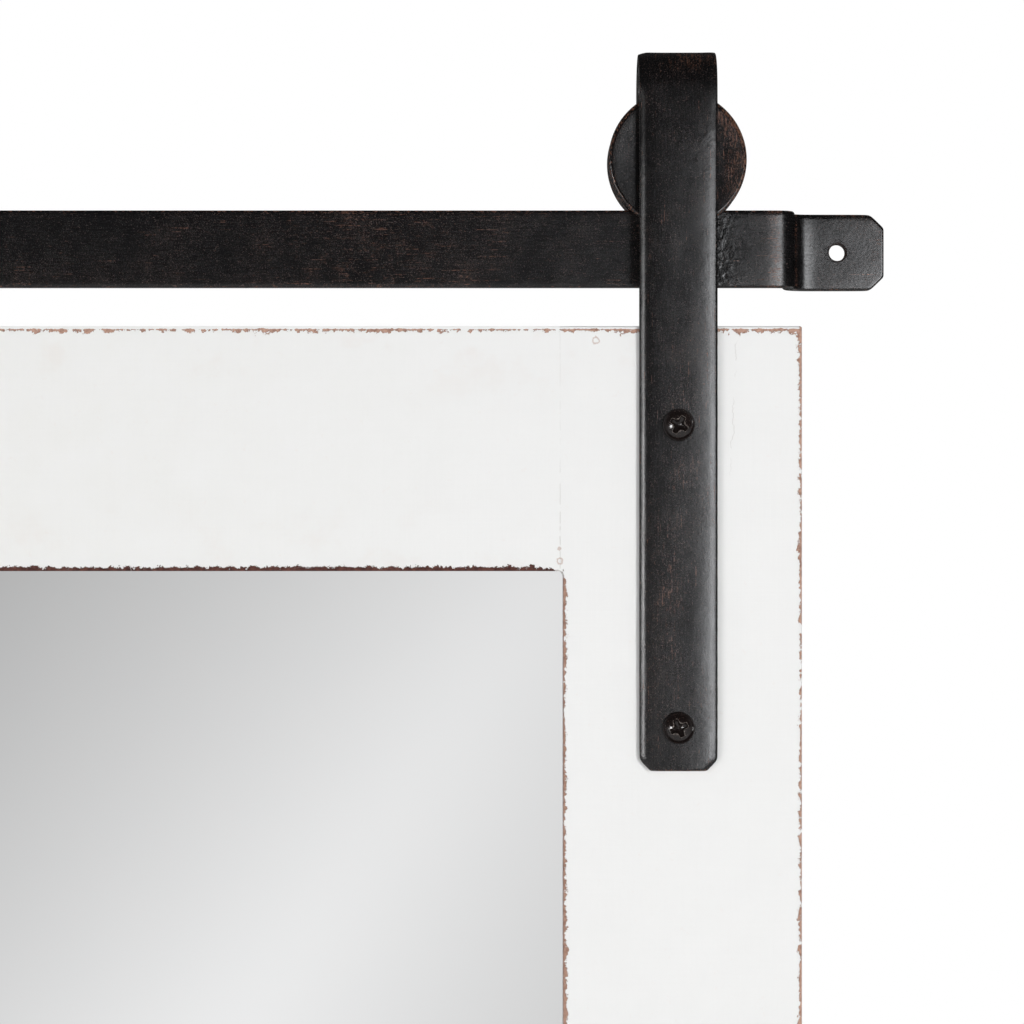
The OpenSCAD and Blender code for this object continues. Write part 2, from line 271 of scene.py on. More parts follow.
def rounded(points, radii, steps):
    # an open outline of (radius, height) points, filleted with a radius for each of them
    out = [points[0]]
    for k in range(1, len(points) - 1):
        here = Vector(points[k])
        before = Vector(points[k - 1]) - here
        after = Vector(points[k + 1]) - here
        half = before.angle(after) / 2
        reach = radii[k] / math.tan(half) if radii[k] > 0 else 0
        reach = min(reach, before.length * 0.49, after.length * 0.49)
        if reach < 1e-6:
            out.append(tuple(here))
            continue
        start = here + before.normalized() * reach
        end = here + after.normalized() * reach
        inward = (before.normalized() + after.normalized()).normalized()
        middle = here + inward * (reach * math.tan(half) / math.sin(half))
        for step in range(steps + 1):
            out.append(tuple(middle + (start - middle).slerp(end - middle, step / steps)))
    out.append(points[-1])
    return out


def latheMesh(outline, segments=96, closed=False):
    # turns an outline of (radius, height) points about the local z axis; a closed one ends where it starts
    builder = bmesh.new()
    rings = []
    turns = [2 * math.pi * k / segments for k in range(segments)]
    for radius, height in outline + outline[:1] * closed:
        ring = [(radius * math.cos(turn), radius * math.sin(turn), height) for turn in turns]
        if radius < 1e-6:
            ring = [(0, 0, height)]
        rings.append([builder.verts.new(point) for point in ring])
    for ring, following in zip(rings, rings[1:]):
        for k in range(segments):
            corners = []
            for vert in (ring[k % len(ring)], ring[(k + 1) % len(ring)],
                         following[(k + 1) % len(following)], following[k % len(following)]):
                if vert not in corners:
                    corners.append(vert)
            if len(corners) > 2:
                builder.faces.new(corners)
    if closed:
        bmesh.ops.remove_doubles(builder, verts=builder.verts, dist=0.0005)
    return builder


def hill(value, middle, spread):
    return math.exp(-((value - middle) / spread) ** 2)


def slope(value, low, high):
    # 0 at low and 1 at high, either way round
    return max(0.0, min(1.0, (value - low) / (high - low)))


# Sizes that several pieces share, read from the frame where it has them
def boxOf(node):
    return [[round(value / mm, 3) for value in corner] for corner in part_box(node)]


stileLow, stileHigh = boxOf("right_stile")
strapLow, strapHigh = boxOf("right_hanger_strap")
wheelLow, wheelHigh = boxOf("right_wheel")
crossBoard = 81.0    # width of the top and bottom boards
openTrim = 1.0       # how far the opening is cut into the boards
panel = {
    "halfWidth": stileHigh[0],
    "top": stileHigh[2],
    "bottom": stileLow[2],
    "front": stileLow[1],
    "back": stileHigh[1],
    "jointX": stileLow[0],
    "openHalfWidth": stileLow[0] + openTrim,
    "openTop": stileHigh[2] - crossBoard + openTrim,
    "openBottom": stileLow[2] + crossBoard - openTrim,
    "openCorner": 2.0,
    "lip": 6.0,          # thickness of the wood in front of the glass
    "rabbet": 9.0,
}
hardware = {
    "strapX": (strapLow[0] + strapHigh[0]) / 2,
    "wheelY": (wheelLow[1] + wheelHigh[1]) / 2,
    "axleZ": round((wheelLow[2] + wheelHigh[2]) / 2, 2),
    "screwZ": (strapLow[2] + 14.1, strapLow[2] + 112.6),
}
sides = {"left": -1, "right": 1}
hanging = "hanging_mirror"


# Metal of the track, the straps, the wheels and the screws
bronze = {
    "black": (0.0022, 0.0021, 0.0023),
    "grey": (0.0052, 0.0048, 0.0051),
    "umber": (0.017, 0.0095, 0.0078),
    "copper": (0.150, 0.068, 0.043),
    "dust": (0.110, 0.078, 0.070),
    # light bare metal, worn through on the screw recesses' lips, which also serves there as a painted glint
    "bareAndGlint": (0.42, 0.37, 0.34),
    "specular": 0.345,
    "smooth": 0.175,     # roughness of the polished grains and of the dull ones between them
    "dull": 0.285,
    "lump": 0.034,       # heights of the slow bumps, the leathery bumps and the grain
    "peel": 0.018,
    "grain": 0.008,
    "hammer": 0.30,
}


def bronzeFinish(name, wear=1.0, gloss=0.0, calm=1.0, dull=1.0, tint=0.0, bareAndGlint=0.0):
    # near-black coating rubbed through to copper brown; "bar" holds each point's place on the unbent bar,
    # and "use" how much more it is rubbed and hammered there and how near it is to an arris; a negative rub
    # keeps a spot black, which on the track's bends is painted shade, and on the screws the arris share lays
    # a painted glint
    material, f = newMaterial(name)
    unbent = f.node("ShaderNodeAttribute", {"attribute_name": "bar"}).outputs["Vector"]
    rub, hammer, rim = f.parts(f.node("ShaderNodeAttribute", {"attribute_name": "use"}).outputs["Vector"])
    place = f.parts(unbent)
    line = f.drawnOut(place, (13, 0.34, 0.34), 2, 0.5)
    short = f.drawnOut(place, (1.1, 0.5, 0.5), 3, 0.65)
    smear = f.drawnOut(place, (2.8, 0.8, 0.8), 4, 0.65)
    stroke = f.drawnOut(place, (6, 0.5, 0.5), 2, 0.6)
    zone = f.cloud(unbent, 26.0, 2, 0.55)
    lump = f.cloud(unbent, 6.0, 2, 0.5)
    patch = f.cloud(unbent, 5.0, 4, 0.7)
    beaten = f.cloud(unbent, 2.4, 2, 0.55)
    peel = f.cloud(unbent, 1.15, 2, 0.5)
    dot = f.cloud(unbent, 0.42, 2, 0.6)
    grain = f.cloud(unbent, 0.42, 3, 0.6)
    fine = f.cloud(unbent, 0.15, 2, 0.6)
    ease = 0.16 * (zone - 0.5) + 0.12 * (patch - 0.5) + 0.060 * rub + 0.04 * (wear - 1)
    specks = short.above(0.680 - ease - 0.16 * rim, 0.04) * (0.25 + 0.6 * patch + 0.5 * rim)
    dashes = line.above(0.700 - ease, 0.03) * short.above(0.47, 0.08)
    streaks = smear.above(0.640 - 0.085 * rub, 0.08) * rub.above(0.45, 0.4)
    streaks = streaks * (0.4 + 0.6 * grain) * (0.35 + 0.9 * patch.above(0.46, 0.14))
    worn = (specks + dashes + streaks * 0.8).kept()
    pin = dot.above(0.638 - 0.10 * (zone - 0.5) - 0.03 * rub, 0.04)
    stain = (patch * 0.5 + zone * 0.5 + 0.06 * rub).above(0.50, 0.2)
    color = f.mix((grain * 0.5 + patch * 0.5).above(0.35, 0.3), bronze["black"], bronze["grey"])
    color = f.mix((tint + stain * 0.22 * wear).kept(), color, bronze["umber"])
    color = f.mix((pin * 0.60 * wear).kept(), color, bronze["dust"])
    color = f.mix((worn * 0.85 * wear).kept(), color, bronze["copper"])
    # the arris share of the screw recesses' lips gets the light bare colour: worn bare metal that is also a
    # painted glint
    if bareAndGlint:
        color = f.mix((rim * bareAndGlint * short.above(0.36, 0.2)).kept(), color, bronze["bareAndGlint"])
    dullness = fine * 0.6 + grain * 0.2 + stroke * 0.2 + 0.16 * (patch + zone - 1.0)
    dullness = dullness.above(0.42, 0.14) * (bronze["dull"] - bronze["smooth"]) * dull
    height = (grain - 0.5) * bronze["grain"] + (peel - 0.5) * bronze["peel"] + (lump - 0.5) * bronze["lump"]
    closeMaterial(f, {
        "Base Color": color,
        "Roughness": (bronze["smooth"] - gloss + dullness + 0.10 * worn).kept(),
        "Specular IOR Level": bronze["specular"],
    }, bump=height * calm + hammer * (beaten - 0.5) * bronze["hammer"] - worn * 0.004)
    return material


def plainMetalFinish(name, color, roughness, size):
    material, f = newMaterial(name)
    marks = f.cloud(f.ownPlace(), size * mm, 3, 0.6)
    closeMaterial(f, {
        "Base Color": f.mix(marks, color, [c * 0.72 for c in color]),
        "Metallic": 1.0,
        "Roughness": (roughness + 0.25 * (marks - 0.5)).kept(),
    }, bump=marks * 0.02)
    return material


# Paint of the boards
paint = {
    "white": (0.86, 0.86, 0.853),
    "cream": (0.858, 0.855, 0.828),
    "rosy": (0.80, 0.70, 0.65),
    "seam": (0.36, 0.33, 0.30),
    "film": (0.30, 0.26, 0.24),
    "stain": (0.48, 0.33, 0.27),
    "tan": (0.56, 0.345, 0.262),
    "pink": (0.45, 0.272, 0.205),
    "tanDark": (0.20, 0.100, 0.070),
    # the two reds are for the chips along the opening's top and bottom edges, painted much darker as shade
    "shadedRed": (0.138, 0.052, 0.039),
    "shadedRedDark": (0.046, 0.016, 0.012),
    "rabbetDark": (0.17, 0.09, 0.055),
    "rabbetLight": (0.28, 0.16, 0.10),
    "roughness": 0.55,
    "crackX": 206.2,     # one crack beside the right strap, from below its upper screw to the panel's top
    "crackZ": (-76, -27),
    # ring stains as (x, z, radius)
    "rings": ((149.2, -98.6, 0.3), (149.4, -102.6, 0.9), (161.2, -30.6, 1.1), (-149.3, -101.5, 0.8),
              (-160.4, -44.0, 0.6)),
}


def paintFinish():
    # white paint over a brown base, worn through along the arrises of the boards
    material, f = newMaterial("wornWhitePaint")
    place = f.scaled(f.ownPlace(), 1 / mm)
    x, y, z = f.parts(place)
    sideX = abs(x)
    fromMiddle = abs(z - (panel["openTop"] + panel["openBottom"]) / 2)
    halfHeight = (panel["openTop"] - panel["openBottom"]) / 2
    outX = panel["halfWidth"] - sideX
    outZ = (panel["top"] - z).least(z - panel["bottom"])
    corner = panel["openCorner"]
    reachX = sideX - (panel["openHalfWidth"] - corner)
    reachZ = fromMiddle - (halfHeight - corner)
    around = (reachX.most(0) * reachX.most(0) + reachZ.most(0) * reachZ.most(0)).root()
    inward = around + reachX.most(reachZ).least(0) - corner    # how far a point is from the opening's edge
    front = (y - panel["front"]).most(0)
    back = (panel["back"] - y).most(0)
    depth = front.least(back)

    middle = f.cloud(place, 3.0, 3, 0.6)
    small = f.cloud(place, 0.9, 3, 0.65)
    tiny = f.cloud(place, 0.36, 2, 0.6)
    region = f.cloud(place, 40.0, 1, 0.5)

    def arris(away, start, cover, width):
        # how far inside a worn patch a point is, for the arris that is away from it
        reach = (away * away + depth * depth).root()
        size = (middle + 0.35 * (region - 0.5) - cover) * width
        ragged = (small - 0.5) * 1.9 + (tiny - 0.5) * 1.4
        beyond = (reach - start).most((start - reach) * 4.0)
        return (size + ragged * size.above(-0.15, 0.4)).least(2.4) - beyond

    fromTop = (z - panel["openTop"]).most(panel["openBottom"] - z)
    fromSide = sideX - panel["openHalfWidth"]
    innerTop = fromTop.most(0) + (fromSide + 9).most(0) * 0.10 + fromSide.most(0)
    innerSide = fromSide.most(0) + (fromTop + 3).most(0) * 0.4
    innerTopWear = arris(innerTop, 0.0, 0.15, 4.0)
    innerSideWear = arris(innerSide, 0.0, 0.25, 3.9)
    onStile = sideX.above(panel["openHalfWidth"] - 1.5, 0.5)
    sideOnly = innerSideWear * onStile - (1 - onStile) * 5
    worst = arris(outX, 0.15, 0.345, 5.0).most(arris(outZ, 1.1, 0.395, 6.6)).most(innerTopWear.most(sideOnly))
    chip = worst.above(0.0, 0.10)
    chipRim = chip * worst.below(0.34, 0.22)
    nearOpening = (abs(inward) - 3.5).below(0, 0.2)
    # dark picks the chips along the opening's top and bottom edges: the chips are real wear, but their much
    # darker reds are painted shade, as if under the top edge's downward-facing arris, and the bottom edge
    # gets the same
    dark = ((innerTopWear - sideOnly).above(0.0, 0.3) * nearOpening).kept()

    # thin lines: the glued joints between the boards, and the crack
    onCross = z.above(panel["openTop"] - 1, 0.5) + z.below(panel["openBottom"] + 1, 0.5)
    wander = f.cloud(f.joined(0.0, 0.0, z), 7.0, 3, 0.7) - 0.5
    cornerNear = (fromMiddle - halfHeight).below(42, 30)
    joint = abs(sideX - panel["jointX"] - wander * 0.5).below(0.20, 0.12) * onCross
    joint = joint * (0.25 + 0.75 * cornerNear) * f.cloud(place, 3.0, 2, 0.6).above(0.40, 0.12)
    low, high = paint["crackZ"]
    crack = abs(x - paint["crackX"] - wander * 5 - (z + 50) * 0.045).below(0.14, 0.1)
    crack = crack * z.above(low, 8) * z.below(high, 2) * f.cloud(place, 5.0, 2, 0.6).above(0.42, 0.1)
    rings = front.below(-1, 1)
    for ringX, ringZ, radius in paint["rings"]:
        away = ((x - ringX) * (x - ringX) + (z - ringZ) * (z - ringZ)).root() + (small - 0.5) * 1.3
        rings = rings.most(abs(away - radius).below(0.34, 0.22) * front.below(0.5, 0.3))

    # faint marks in the flat paint: brushed weave in both directions and thin rosy patches near the edges
    lengthways = f.drawnOut((x, y, z), (30, 30, 1.1), 2, 0.6)
    crossways = f.drawnOut((x, y, z), (1.1, 1.1, 30), 2, 0.6)
    haze = f.cloud(place, 18.0, 4, 0.6)
    speck = f.cloud(place, 1.9, 2, 0.5).above(0.70, 0.03)
    edgeZone = outZ.below(32, 24).most(abs(fromMiddle - halfHeight).below(24, 18) * sideX.below(150, 20))
    rosy = haze.above(0.56, 0.12) * edgeZone
    film = abs(inward - 0.3).below(0.2, 0.14) * reachX.above(-6, 4) * reachZ.above(-4, 3)
    film = film * front.below(1.5, 0.5)
    weave = 0.16 * lengthways + 0.16 * crossways + 0.26 * haze.above(0.35, 0.4)

    base = f.mix(x.below(130, 160) * haze.above(0.30, 0.4), paint["white"], paint["cream"])
    base = f.mix(weave.kept(), base, [c * 0.94 for c in paint["white"]])
    base = f.mix((rosy * 0.16 + speck * 0.10).kept(), base, paint["rosy"])
    base = f.mix((joint * 0.34 + crack * 0.34).kept(), base, paint["seam"])
    base = f.mix((film * 0.55).kept(), base, paint["film"])
    base = f.mix((rings * 0.6).kept(), base, paint["stain"])
    tone = f.cloud(place, 1.3, 4, 0.7)
    fresh = f.mix(nearOpening.kept(), paint["tan"], paint["pink"])
    wood = f.mix(tone.above(0.25, 0.35), paint["tanDark"], fresh)
    # where dark is set the chips and their outlines take the dark reds, a painted shade
    wood = f.mix(dark, wood, f.mix(tone.above(0.38, 0.3), paint["shadedRedDark"], paint["shadedRed"]))
    rimColor = f.mix(dark, paint["tanDark"], paint["shadedRedDark"])
    wood = f.mix((chipRim * (0.35 + 0.9 * tiny)).kept(), wood, rimColor)
    rabbet = (inward.below(9.6, 0.2) * front.above(panel["lip"] - 0.05, 0.05) * back.above(0.15, 0.1)).kept()
    color = f.mix(chip, base, wood)
    color = f.mix(rabbet, color, f.mix(tone, paint["rabbetDark"], paint["rabbetLight"]))
    height = (1 - chip.most(rabbet)) * 0.12 + (lengthways + crossways) * 0.02 + haze * 0.03
    closeMaterial(f, {
        "Base Color": color,
        "Roughness": (paint["roughness"] + 0.12 * (haze - 0.5) + 0.3 * chip).kept(),
        "Specular IOR Level": 0.35,
    }, bump=height - (joint + crack) * 0.05 + tone * chip * 0.07)
    return material


# Glass, wood, foam and rubber
def mirrorFinish():
    material, f = newMaterial("silveredGlass")
    dust = f.cloud(f.ownPlace(), 20 * mm, 3, 0.6)
    closeMaterial(f, {
        "Base Color": f.mix(dust, (0.90, 0.905, 0.91), (0.915, 0.915, 0.915)),
        "Metallic": 1.0,
        "Roughness": (0.02 + 0.012 * dust.above(0.55, 0.2)).kept(),
    })
    return material


def woodenFinish(name, light, deep, size):
    # pressed or sawn wood with fibres of a given size
    material, f = newMaterial(name)
    place = f.scaled(f.ownPlace(), 1 / mm)
    fibres = f.cloud(place, size, 5, 0.7)
    patches = f.cloud(place, size * 30, 2, 0.5)
    closeMaterial(f, {
        "Base Color": f.mix((fibres.above(0.3, 0.4) * 0.75 + 0.9 * (patches - 0.5)).kept(), deep, light),
        "Roughness": (0.6 + 0.15 * (fibres - 0.5)).kept(),
        "Specular IOR Level": 0.3,
    }, bump=fibres * 0.08)
    return material


def softFinish(name, color, size, roughness):
    material, f = newMaterial(name)
    cells = f.cloud(f.scaled(f.ownPlace(), 1 / mm), size, 3, 0.6)
    closeMaterial(f, {
        "Base Color": f.mix(cells, [c * 0.8 for c in color], color),
        "Roughness": (roughness + 0.1 * (cells - 0.5)).kept(),
        "Specular IOR Level": 0.3,
    }, bump=cells * 0.1)
    return material


barBronze = bronzeFinish("rubbedBronze")
wheelBronze = bronzeFinish("wheelBronze", gloss=0.01)
screwBronze = bronzeFinish("screwBronze", wear=0.8, gloss=0.03, calm=0.15, dull=0.4, tint=0.35, bareAndGlint=0.8)
whitePaint = paintFinish()
silvered = mirrorFinish()
hardboardBrown = woodenFinish("hardboardBrown", (0.26, 0.15, 0.09), (0.15, 0.08, 0.045), 1.6)
beechWood = woodenFinish("beechWood", (0.72, 0.52, 0.33), (0.55, 0.36, 0.2), 2.5)
foamWhite = softFinish("foamWhite", (0.85, 0.85, 0.83), 1.0, 0.8)
bumperGrey = softFinish("bumperGrey", (0.22, 0.22, 0.21), 0.8, 0.7)
zincSteel = plainMetalFinish("zincSteel", (0.56, 0.56, 0.54), 0.38, 3.0)
print("materials made")


# Flat bars
bar = {
    "halfWidth": 12.7,
    "halfThick": 2.0,
    "edge": 1.2,         # rounding of the two rear corners
    "crownPower": 3.0,
    "wave": 0.045,       # slow waviness of a face
    "runStep": 2.0,      # length between stations, and degrees between them in a bend
    "bendStep": 6.0,
    "faceSteps": 14,
    "cornerSteps": 7,
    "ends": ((0.0, 0.42), (0.10, 0.18), (0.30, 0.04)),   # the rounded end as (distance from it, inset)
}


def stations(start, heading, moves):
    # walks a bar's centre line through ("run", length) and ("turn", radius, degrees)
    p, q = start
    angle = math.radians(heading)
    travelled = 0.0
    out = [(0.0, p, q, angle)]
    for kind, size, *degrees in moves:
        if kind == "run":
            count = max(1, round(size / bar["runStep"]))
            for _ in range(count):
                p += math.cos(angle) * size / count
                q += math.sin(angle) * size / count
                travelled += size / count
                out.append((travelled, p, q, angle))
        else:
            turn = math.radians(degrees[0])
            reach = size if turn > 0 else -size
            cp = p - math.sin(angle) * reach
            cq = q + math.cos(angle) * reach
            count = max(4, round(abs(degrees[0]) / bar["bendStep"]))
            for k in range(1, count + 1):
                now = angle + turn * k / count
                travelled += abs(turn) * size / count
                out.append((travelled, cp + math.sin(now) * reach, cq - math.cos(now) * reach, now))
            angle += turn
            p, q = out[-1][1:3]
    return out


def refined(path, near):
    # more stations close to both ends, where the corners are cut
    out = []
    for first, second in zip(path, path[1:]):
        out.append(first)
        if min(first[0], path[-1][0] - second[0]) < near and first[3] == second[3]:
            for share in (0.25, 0.5, 0.75):
                out.append(tuple(a + (b - a) * share for a, b in zip(first, second)))
    return out + [path[-1]]


def shoulder(radius, steep, slight, width, fade):
    # a front corner from the face out to the side, as (distance in from the side, depth below the face): the
    # face bends away over fade, goes on as a facet tilted from slight to steep degrees and ends in a rounding
    steep, slight = math.radians(steep), math.radians(slight)
    at, below = width + fade, 0.0
    points = [(at, below)]
    inner = radius * (1 - math.sin(steep))
    for start, finish, run, steps in ((0.0, slight, fade, 4), (slight, steep, width - inner, 3)):
        for k in range(steps):
            at -= run / steps
            below += math.tan(start + (finish - start) * (k + 0.5) / steps) * run / steps
            points.append((at, below))
    for k in range(1, 5):
        angle = steep + (math.pi / 2 - steep) * k / 4
        points.append((radius * (1 - math.sin(angle)), below + radius * (math.cos(steep) - math.cos(angle))))
    return points


def barLoop(halfWidth, crown, corners, inset):
    # points (across, depth) round a bar, starting at the low end of its crowned front face;
    # corners holds the shoulders of the low side and the high side, and inset shrinks the whole section
    halfWidth -= inset
    halfThick = bar["halfThick"] - inset
    edge = bar["edge"] - inset * 0.5
    scale = halfWidth / bar["halfWidth"]
    low, high = ([(at * scale, below * (1 - inset)) for at, below in points] for points in corners)
    steps = bar["faceSteps"]
    loop = []

    def face(across):
        return halfThick - crown * (abs(across) / halfWidth) ** bar["crownPower"]

    def rearCorner(across, first):
        for k in range(bar["cornerSteps"] + 1):
            angle = math.radians(first - 90 * k / bar["cornerSteps"])
            loop.append((across + edge * math.cos(angle), edge - halfThick + edge * math.sin(angle)))

    start, finish = low[0][0] - halfWidth, halfWidth - high[0][0]
    for k in range(steps + 1):
        across = start + (finish - start) * k / steps
        loop.append((across, face(across)))
    loop += [(halfWidth - at, face(halfWidth - at) - below) for at, below in high[1:]]
    rearCorner(halfWidth - edge, 0)
    for k in range(1, steps):
        loop.append(((halfWidth - edge) * (1 - 2 * k / steps), -halfThick))
    rearCorner(edge - halfWidth, -90)
    loop += [(at - halfWidth, face(halfWidth - at) - below) for at, below in reversed(low[1:])]
    return loop


def cornerCut(fromEnd, chamfer):
    # half width of a bar near an end whose two corners are cut at 45 degrees, softened a little
    short = chamfer - fromEnd
    return bar["halfWidth"] - 0.5 * (short + math.sqrt(short * short + 0.6)) + 0.03


def waviness(length, across, depth, seed):
    slow = noise.noise(Vector((length / 17 + seed, across / 9, depth / 9)))
    quick = noise.noise(Vector((length / 5 + seed, across / 4, depth / 5)))
    return bar["wave"] * slow + 0.4 * bar["wave"] * quick


def sweepBar(path, side, chamfer, corners, seed, place, crownAt, useAt, sinkAt):
    # side is +1 where the front face is to the right of the walk; useAt gives how far the finish is rubbed,
    # hammered and worn to an arris at a point, and sinkAt how far the bar is set back there
    builder = bmesh.new()
    barLayer = builder.verts.layers.float_vector.new("bar")
    useLayer = builder.verts.layers.float_vector.new("use")
    path = refined(path, chamfer + 3.5)
    total = path[-1][0]
    stops = [(path[0], reach, inset) for reach, inset in bar["ends"]]
    stops += [(station, station[0], 0.0) for station in path if 0.4 < station[0] < total - 0.4]
    stops += [(path[-1], total - reach, inset) for reach, inset in reversed(bar["ends"])]
    rows = []
    for (ownLength, p, q, angle), length, inset in stops:
        p += math.cos(angle) * (length - ownLength)
        q += math.sin(angle) * (length - ownLength)
        normal = (math.sin(angle) * side, -math.cos(angle) * side)
        halfWidth = min(cornerCut(length, chamfer), cornerCut(total - length, chamfer))
        row = []
        for across, depth in barLoop(halfWidth, crownAt(length), corners, inset):
            ripple = waviness(length, across, depth, seed) - bar["wave"]
            out = depth + ripple * (1 if depth > 0 else 0) - sinkAt(length, across)
            vert = builder.verts.new(place(p + normal[0] * out, q + normal[1] * out, across))
            vert[barLayer] = (length + seed * 100, across, depth)
            vert[useLayer] = useAt(length, across, p)
            row.append(vert)
        rows.append(row)
    for row, following in zip(rows, rows[1:]):
        for k in range(len(row)):
            builder.faces.new((row[k - 1], row[k], following[k], following[k - 1]))
    builder.faces.new(rows[0])
    builder.faces.new(rows[-1])
    return builder


track = {
    "halfLength": boxOf("track_bar")[1][0],
    "endToLeg": 32.5,    # from the end to the middle of the short leg between the tab and the long run
    # the bends as arcs of (radius, degrees) of the bar's middle, each from the flat to the leg
    "tabBend": ((60.0, 2.5), (20.0, 4.5), (12.0, 6.0), (9.0, 10.0), (5.5, 67.0)),
    "runBend": ((90.0, 2.2), (35.0, 2.3), (9.0, 12.0), (2.6, 73.5)),
    "tabMiddleY": -2.0,
    "runMiddleY": -15.0,
    "chamfer": 4.5,
    "crown": 0.06,
    # lower and upper front corners, as (radius, steep degrees, slight degrees, width, fade)
    "shoulders": ((0.5, 30, 8, 0.7, 0.9), (0.6, 30, 8, 0.8, 1.0)),
    "holeFromEnd": 15.5,
    "holeRadius": 2.75,
    "holeFlare": 0.5,
    # where it is rubbed and where it stays black, as (distance from its middle, spread, amount); the negative
    # amounts keep the bends either side of the short leg black, a painted shade, and the rub on the edge
    # between them is wear that is also a painted highlight
    "rubs": ((88, 45, 0.75), (220.5, 2.3, 1.3), (255.0, 3, 0.9), (175, 6, 0.5), (227.2, 1.0, 1.5),
             (224.4, 1.5, -1.2), (230.0, 1.3, -1.2)),
}


def bendSize(arcs):
    # how far a bend made of arcs goes along the flat and how far it rises from it
    angle, reach, rise = 0.0, 0.0, 0.0
    for radius, turn in arcs:
        following = angle + math.radians(turn)
        reach += radius * (math.sin(following) - math.sin(angle))
        rise += radius * (math.cos(angle) - math.cos(following))
        angle = following
    return reach, rise


def makeTrack():
    tabReach, tabRise = bendSize(track["tabBend"])
    runReach, runRise = bendSize(track["runBend"])
    legX = track["halfLength"] - track["endToLeg"]
    leg = track["tabMiddleY"] - track["runMiddleY"] - tabRise - runRise
    down = [("run", track["endToLeg"] - tabReach)]
    down += [("turn", radius, -turn) for radius, turn in track["tabBend"]] + [("run", leg)]
    down += [("turn", radius, turn) for radius, turn in reversed(track["runBend"])]
    moves = down + [("run", 2 * (legX - runReach))] + down[::-1]

    def useAt(length, across, x):
        # rubbed in its middle and over the bends, kept black either side of the short leg as painted shade,
        # beaten beside the hangers
        x = abs(x)
        rub = sum(amount * hill(x, place, spread) for place, spread, amount in track["rubs"])
        rim = 0.8 * slope(across, 11.9, 12.4) + 0.4 * slope(-across, 12.0, 12.5)
        return rub, slope(x, 198, 202) * slope(x, 210, 201), rim + 0.5 * slope(x, 257.2, 257.7)

    builder = sweepBar(
        stations((-track["halfLength"], track["tabMiddleY"]), 0, moves), 1, track["chamfer"],
        [shoulder(*sizes) for sizes in track["shoulders"]], 3.0, lambda p, q, across: (p, q, across),
        lambda length: track["crown"], useAt, lambda length, across: 0.0)
    radius = track["holeRadius"]
    flared = radius + track["holeFlare"]
    outline = [(0, -6), (flared, -6), (flared, -1.95), (radius, -1.6), (radius, 1.45), (flared, 1.9)]
    outline += [(flared, 6), (0, 6)]
    holeX = track["halfLength"] - track["holeFromEnd"]
    places = [towardsFront(side * holeX, track["tabMiddleY"], 0) for side in sides.values()]
    holes = [placed(latheMesh(outline, 48), place) for place in places]
    newPiece("trackBar", cutAway(builder, holes), barBronze, "track", "track_bar")


strap = {
    "bottom": strapLow[2],
    "top": strapHigh[2],
    "bendRadius": 11.0,
    "frontMiddleY": -26.0,
    "rearMiddleY": -4.0,
    "rearBottom": 16.3,
    "chamfer": 3.5,
    "crown": 0.42,       # how much lower the face is at its edges than in its middle
    "bendHollow": 0.16,
    "shoulders": ((0.32, 22, 17, 1.4, 2.2), (0.45, 14, 5, 0.8, 2.0)),   # of its left and its right
    "lean": 0.80,        # how far the front leg leans back just below the bend
    "screwHole": 2.8,
    "axleHole": 3.1,
    "axleHead": 5.8,
    "axleDepth": 24.9,
    # where it is rubbed, as (length from its lower front end, spread, place across, spread across, amount)
    "rubs": ((62, 30, -3, 7, 0.9), (118, 9, 0, 8, 0.8), (0, 1.2, 0, 999, 0.5), (97, 7, 1.5, 5, 0.7)),
}


def makeStrap(name):
    side = sides[name]
    bendZ = strap["top"] - strap["bendRadius"] - bar["halfThick"]
    bendStart = bendZ - strap["bottom"]
    bendEnd = bendStart + math.pi * strap["bendRadius"]
    moves = [("run", bendStart), ("turn", strap["bendRadius"], -180), ("run", bendZ - strap["rearBottom"])]

    def crownAt(length):
        # the face is domed on the straights and slightly hollow over the bend
        share = slope(min(length - bendStart, bendEnd - length), -8, 8)
        return strap["crown"] * (1 - share) - strap["bendHollow"] * share

    def useAt(length, across, y):
        # rubbed over the top of the bend and along the lower half, by hands and by the wall
        rub = 1.7 * hill(length, 236, 9) * (0.45 + 0.55 * slope(across, -4, 4))
        for place, spread, placeAcross, spreadAcross, amount in strap["rubs"]:
            rub += amount * hill(length, place, spread) * hill(across, placeAcross, spreadAcross)
        rim = 0.3 * slope(abs(across), 12.1, 12.55) + 0.8 * slope(length, 0.8, 0.3)
        return rub, 0.22 * hill(length, 205, 12), rim

    def sinkAt(length, across):
        # the front leg already leans back a little before the bend, sooner on its left
        rising = slope(length, bendStart - 24 + 0.45 * across, bendStart + 3)
        falling = slope(length, bendStart + 26, bendStart + 3)
        return strap["lean"] * rising * rising * falling * falling * (3 - 2 * falling)

    builder = sweepBar(
        stations((strap["frontMiddleY"], strap["bottom"]), 90, moves), -1, strap["chamfer"],
        [shoulder(*sizes) for sizes in strap["shoulders"]], 11.0 if side > 0 else 17.0,
        lambda p, q, across: (hardware["strapX"] + across, p, q), crownAt, useAt, sinkAt)
    hole, bore, head = strap["screwHole"], strap["axleHole"], strap["axleHead"]
    cutters = []
    for height in hardware["screwZ"]:
        cutters.append(placed(latheMesh([(0, -4), (hole, -4), (hole, 4), (0, 4)], 32),
                              towardsFront(hardware["strapX"], strap["frontMiddleY"], height)))
    cone = [(0, -1), (head, -1), (head, 0), (bore, 2.8), (bore, strap["axleDepth"]), (0, strap["axleDepth"])]
    rearY = strap["rearMiddleY"] + bar["halfThick"]
    cutters.append(placed(latheMesh(cone, 48), towardsFront(hardware["strapX"], rearY, hardware["axleZ"])))
    builder = cutAway(builder, cutters)
    if side < 0:
        builder.transform(Matrix.Scale(-1, 4, (1, 0, 0)))
    newPiece(name + "HangerStrap", builder, barBronze, hanging, name + "_hanger_strap")


makeTrack()
for sideName in sides:
    makeStrap(sideName)
print("bars made")


